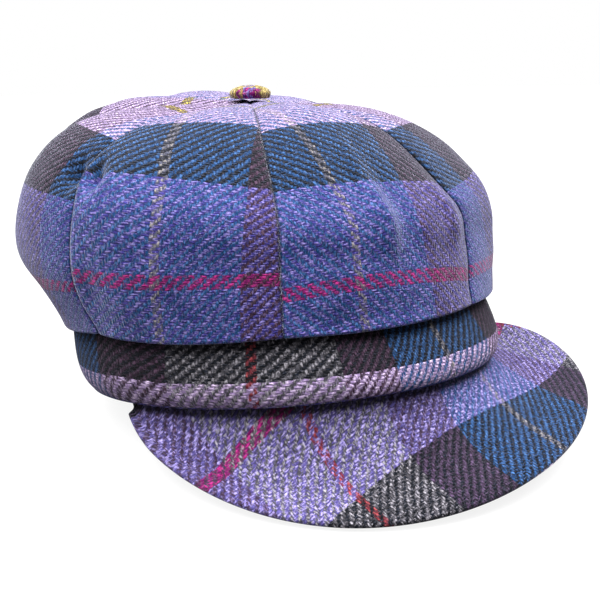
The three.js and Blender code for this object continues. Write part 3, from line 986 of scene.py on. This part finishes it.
def peak_down(angle, part):
    """The direction down through the peak, held steady in its corners."""
    step, held_share = 0.001, 0.95
    limit = math.radians(PEAK["half_span"]) * held_share
    held = np.clip(angle, -limit, limit)
    across = peak_surface(held + step, part)[0] - peak_surface(held - step, part)[0]
    out = peak_surface(held, part + step)[0] - peak_surface(held, part - step)[0]
    return unit(np.cross(across, out))


def peak_cloth(flat):
    x = flat[..., 0] / PEAK_CLOTH["step"]
    y = (flat[..., 1] - PEAK_CLOTH["middle_y"]) / PEAK_CLOTH["step"]
    terms = np.stack([np.ones_like(x), x, y, x**2, x * y, y**2], axis=-1)
    return np.stack([terms @ PEAK_CLOTH["across"], terms @ PEAK_CLOTH["up"]], axis=-1)


def peak_layer(name, material, node, top):
    """One layer of the peak: the tweed turns over the edge, the lining stops short inside it."""
    columns, rows, turns = 221, 70, 9
    swing = np.sin(np.pi / 2 * np.linspace(-1, 1, columns))
    angles = math.radians(PEAK["half_span"]) * PEAK["corner_stop"] * swing
    parts = 1 - (1 - np.linspace(0, 1, rows)) ** PEAK["crowding"]
    angle, part = np.meshgrid(angles, parts)
    surface, flat = peak_surface(angle, part)
    down = peak_down(angle, part)
    surface[..., 2] += np.maximum(0, FLOOR - surface[..., 2] - PEAK["thickness"] * down[..., 2])
    edge, along = surface[-1], unit(np.gradient(surface[-1], axis=0))
    out = unit(np.cross(down[-1], along))
    from_edge = np.linalg.norm(surface - edge, axis=-1)
    roll = PEAK["roll"] if top else PEAK["lining_roll"]
    within = np.clip(1 - from_edge / roll, 0, 1)
    rounding = roll * (1 - np.sqrt(1 - within**2))
    bend = PEAK["edge_drop"] * np.clip(1 - from_edge / PEAK["edge_width"], 0, 1) ** 2
    depth = bend + rounding if top else PEAK["thickness"] - rounding
    inset = 0 * from_edge if top else PEAK["lining_inset"] * np.exp(-from_edge / PEAK["lining_ease"])
    points = surface + down * depth[..., None] - out * inset[..., None]
    flat_along = np.gradient(flat[-1], axis=0)
    flat_out = unit(np.stack([flat_along[:, 1], -flat_along[:, 0]], axis=-1))
    flat = flat + flat_out * (roll * (np.arcsin(within) - within))[..., None]
    lip, lip_flat = [], []
    for turn in np.linspace(0, np.pi / 2, turns)[1:]:
        sunk = PEAK["edge_drop"] + roll * (1 + math.sin(turn)) if top else PEAK["thickness"] - roll
        back = roll * (1 - math.cos(turn)) + (0 if top else PEAK["lining_inset"] + turn)
        lip.append(edge + down[-1] * sunk - out * back)
        lip_flat.append(flat[-1] + flat_out * roll * turn)
    points = np.concatenate([points, np.array(lip)])
    cloth = peak_cloth(np.concatenate([flat, np.array(lip_flat)]))
    points[..., 2] = np.maximum(points[..., 2], FLOOR)
    # Painted shade: the peak's cloth is painted darker just beside the band.
    from_band = np.maximum(distance_along(points, 0) - PEAK["inset"], 0)
    bm = cloth_grid(points, cloth, from_seam=from_band * PEAK["shade_share"])
    hidden_side = Vector((0, -100, -200 if top else 300)) * MM
    face_away_from(bm, ORIGIN + hidden_side)
    piece = thicken(finished(name, bm, material), PEAK["cloth"])
    return seat(piece, node)


# ---- button ---------------------------------------------------------------------------------


def button():
    """A covered button: a low dome of cloth, gathered under its rim."""
    bm = bmesh.new()
    profile = [(BUTTON["radius"] - inward, height) for inward, height in BUTTON["foot"]]
    for turn in np.linspace(0, math.pi / 2, 13):
        radius = BUTTON["radius"] * math.cos(turn)
        height = BUTTON["rim"] + (BUTTON["height"] - BUTTON["rim"]) * math.sin(turn)
        profile.append((radius, height))
    verts = [bm.verts.new((radius * MM, 0, height * MM)) for radius, height in profile]
    edges = [bm.edges.new(pair) for pair in zip(verts, verts[1:])]
    bmesh.ops.spin(
        bm, geom=verts + edges, cent=(0, 0, 0), axis=(0, 0, 1), angle=2 * math.pi, steps=64, use_merge=True
    )
    bmesh.ops.remove_doubles(bm, verts=bm.verts[:], dist=1e-6)
    bmesh.ops.holes_fill(bm, edges=[e for e in bm.edges if e.is_boundary], sides=0)
    for vertex in bm.verts:
        angle = math.atan2(vertex.co.y, vertex.co.x)
        low_part = max(0.0, 1 - vertex.co.z / (BUTTON["pleat_height"] * MM))
        pleat = 0.5 + 0.5 * math.cos(BUTTON["pleats"] * angle)
        vertex.co.xy *= 1 - BUTTON["pleat_depth"] * low_part * pleat
    uv = bm.loops.layers.uv.new("cloth")
    seams = bm.loops.layers.uv.new("seams")
    turn = math.radians(BUTTON["turn"])
    level = Vector((math.cos(turn), math.sin(turn), 0))
    back = Vector((-math.sin(turn), math.cos(turn), 0))
    for face in bm.faces:
        for loop in face.loops:
            place = loop.vert.co
            loop[uv].uv = Vector((place.dot(level), place.dot(back) + BUTTON["check_front"] * MM))
            loop[seams].uv = Vector((NO_SEAM, 0)) * MM
    bmesh.ops.translate(bm, verts=bm.verts[:], vec=ORIGIN + BUTTON_SEAT)
    bmesh.ops.recalc_face_normals(bm, faces=bm.faces[:])
    piece = finished("covered_button", bm, BUTTON_TWEED)
    return seat(piece, "top_button")


for number in range(len(PANELS)):
    crown_panel(number)
band()
peak_layer("peak_tweed_layer", PEAK_TWEED, "peak_top", top=True)
peak_layer("peak_lining_layer", PEAK_LINING, "peak_under", top=False)
button()

# ---- studio ---------------------------------------------------------------------------------

CAMERA = {"turn": 31.72, "height": 14.49, "roll": 0.98, "distance": 398.9, "side": 16.06, "up": 39.05}
LENS, SENSOR = 49.06, 36
# Soft lights: where each stands round the cap from the camera, how high, and how strong.
LIGHTS = [
    {"name": "overhead_light", "bearing": -10, "height": 79, "strength": 5.0, "spread": 60},
    {"name": "light_behind_right", "bearing": 120, "height": 50, "strength": 3.9, "spread": 40},
    {"name": "light_from_left", "bearing": -84, "height": 50, "strength": 3.2, "spread": 50},
]
STUDIO = {"fill": 0.09, "floor_glow": 0.87, "floor_size": 40.0}


def studio_floor():
    """A plain pale floor that looks evenly lit to the camera."""
    bm = bmesh.new()
    bmesh.ops.create_grid(bm, x_segments=1, y_segments=1, size=STUDIO["floor_size"])
    material = bpy.data.materials.new("studio_floor")
    material.use_nodes = True
    tree = material.node_tree
    shader = tree.nodes["Principled BSDF"]
    shader.inputs["Base Color"].default_value = (0.12, 0.12, 0.12, 1)
    shader.inputs["Roughness"].default_value = 0.9
    shader.inputs["Emission Color"].default_value = (1, 1, 1, 1)
    rays = tree.nodes.new("ShaderNodeLightPath")
    glow = maths(tree, "MULTIPLY", rays.outputs["Is Camera Ray"], STUDIO["floor_glow"])
    wire(tree, shader.inputs["Emission Strength"], glow)
    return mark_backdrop(finished("studio_floor", bm, material))


def toward(turn, rise):
    """The direction from the cap towards a place round it, from degrees round and up."""
    turn, rise = math.radians(turn), math.radians(rise)
    return Vector((-math.sin(turn) * math.cos(rise), -math.cos(turn) * math.cos(rise), math.sin(rise)))


def studio_camera():
    """The camera, by its bearing, height and roll round the cap's own origin."""
    turn, roll = math.radians(CAMERA["turn"]), math.radians(CAMERA["roll"])
    back = toward(CAMERA["turn"], CAMERA["height"])
    level = Vector((math.cos(turn), -math.sin(turn), 0))
    upright = back.cross(level)
    right = level * math.cos(roll) - upright * math.sin(roll)
    up = level * math.sin(roll) + upright * math.cos(roll)
    place = (right * CAMERA["side"] + up * CAMERA["up"] + back * CAMERA["distance"]) * MM + ORIGIN
    data = bpy.data.cameras.new("studio_camera")
    data.lens = LENS
    data.sensor_width = SENSOR
    camera = bpy.data.objects.new("studio_camera", data)
    bpy.context.scene.collection.objects.link(camera)
    axes = Matrix((right, up, back)).transposed()
    camera.matrix_world = Matrix.Translation(place) @ axes.to_4x4()
    bpy.context.scene.camera = camera


def soft_light(light):
    """A broad light far off, aimed at the cap."""
    data = bpy.data.lights.new(light["name"], "SUN")
    data.angle = math.radians(light["spread"])
    data.energy = light["strength"]
    lamp = bpy.data.objects.new(light["name"], data)
    bpy.context.scene.collection.objects.link(lamp)
    facing = toward(CAMERA["turn"] - light["bearing"], light["height"])
    lamp.rotation_euler = facing.to_track_quat("Z", "Y").to_euler()


def studio_world():
    """White walls all round, which light the cap only a little."""
    world = bpy.data.worlds.new("studio_world")
    world.use_nodes = True
    tree = world.node_tree
    rays = tree.nodes.new("ShaderNodeLightPath")
    seen = mix_values(tree, rays.outputs["Is Camera Ray"], STUDIO["fill"], 1.0)
    wire(tree, tree.nodes["Background"].inputs["Color"], (1, 1, 1, 1))
    wire(tree, tree.nodes["Background"].inputs["Strength"], seen)
    bpy.context.scene.world = world
    bpy.context.scene.view_settings.view_transform = "Standard"


studio_floor()
studio_camera()
for light in LIGHTS:
    soft_light(light)
studio_world()
